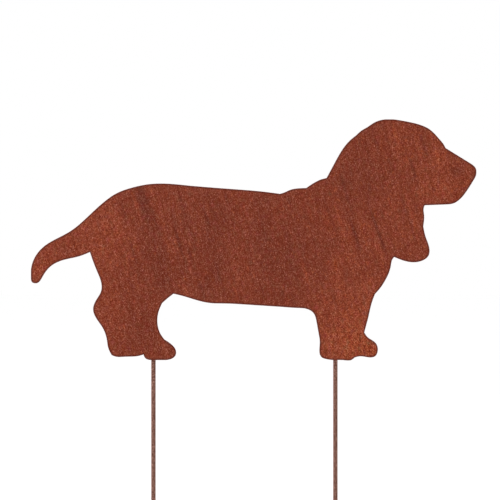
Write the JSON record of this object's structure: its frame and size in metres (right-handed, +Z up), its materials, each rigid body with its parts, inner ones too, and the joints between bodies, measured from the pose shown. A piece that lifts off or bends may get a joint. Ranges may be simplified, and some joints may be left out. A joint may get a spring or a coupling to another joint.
{
  "type": "basset hound garden stake",
  "caption": "Flat silhouette of a basset hound in rusted sheet steel, nose to the right, welded to round steel rods that hold it upright in a lawn or flower bed.",
  "frame": {"origin": "centre of the rear rod's flat lower end, where the rod meets the ground", "axes": "+X towards the nose, +Y away from the viewer and towards the side that carries the rods, +Z up along the rods"},
  "size_m": [0.43, 0.0063, 0.3829],
  "materials": {
    "rusted_sheet": "matt red-brown rust skin on mild steel sheet, finely grained, darker along the cut edge",
    "rod_steel": "dull grey-brown steel rod with patches of rust, welds a little darker"
  },
  "bodies": {
    "root": {"hound_plate": "rusted_sheet", "rear_stake": "rod_steel", "front_stake": "rod_steel"}
  },
  "joints": []
}
